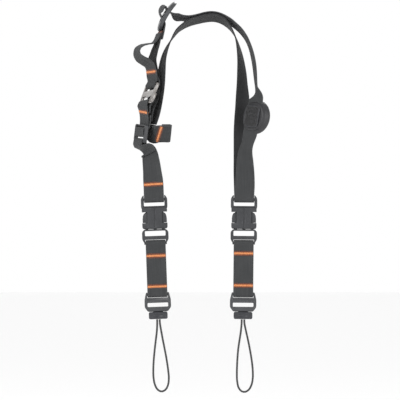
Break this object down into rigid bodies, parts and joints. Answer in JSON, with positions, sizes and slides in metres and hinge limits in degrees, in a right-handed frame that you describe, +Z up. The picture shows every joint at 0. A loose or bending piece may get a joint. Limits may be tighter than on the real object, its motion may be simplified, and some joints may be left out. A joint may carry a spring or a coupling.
{
  "type": "camera strap",
  "caption": "Neck strap of folded dark webbing with a slide adjuster, a round pad, side-release buckles, sewn tabs and thin cord loops for a camera.",
  "frame": {"origin": "on the underside of the inner strand at its highest point, where the strap rests on the neck", "axes": "+Z up, +X to the wearer's left, which is the right-hand side seen from the chest, and -Y out from the chest"},
  "size_m": [0.1371, 0.0576, 0.3918],
  "materials": {
    "webbing": "woven nylon, matt with a faint sheen",
    "buckle_plastic": "moulded, satin",
    "clamp_plastic": "moulded, satin",
    "glossy_plastic": "moulded, glossy",
    "pad_rubber": "smooth, soft",
    "hook_and_loop": "fuzzy pile",
    "cord": "braided"
  },
  "bodies": {
    "root": {"right_buckle_socket": "buckle_plastic", "right_buckle_prongs": "buckle_plastic", "right_sewn_tab": "webbing", "right_lower_frame": "buckle_plastic", "right_cord_clamp": "clamp_plastic", "right_cord_loop": "cord", "left_buckle_socket": "buckle_plastic", "left_buckle_prongs": "buckle_plastic", "left_sewn_tab": "webbing", "left_lower_frame": "buckle_plastic", "left_cord_clamp": "clamp_plastic", "left_cord_loop": "cord", "slide_adjuster": "buckle_plastic", "ladder_lock": "buckle_plastic", "bypass_hook_buckle": "glossy_plastic", "pad_body": "pad_rubber", "pad_patch": "hook_and_loop", "outer_strand": "webbing", "inner_strand": "webbing", "left_outer_webbing": "webbing", "bypass_upper_webbing": "webbing", "bypass_lower_webbing": "webbing", "left_upper_webbing": "webbing", "pull_tab": "webbing"}
  },
  "joints": []
}
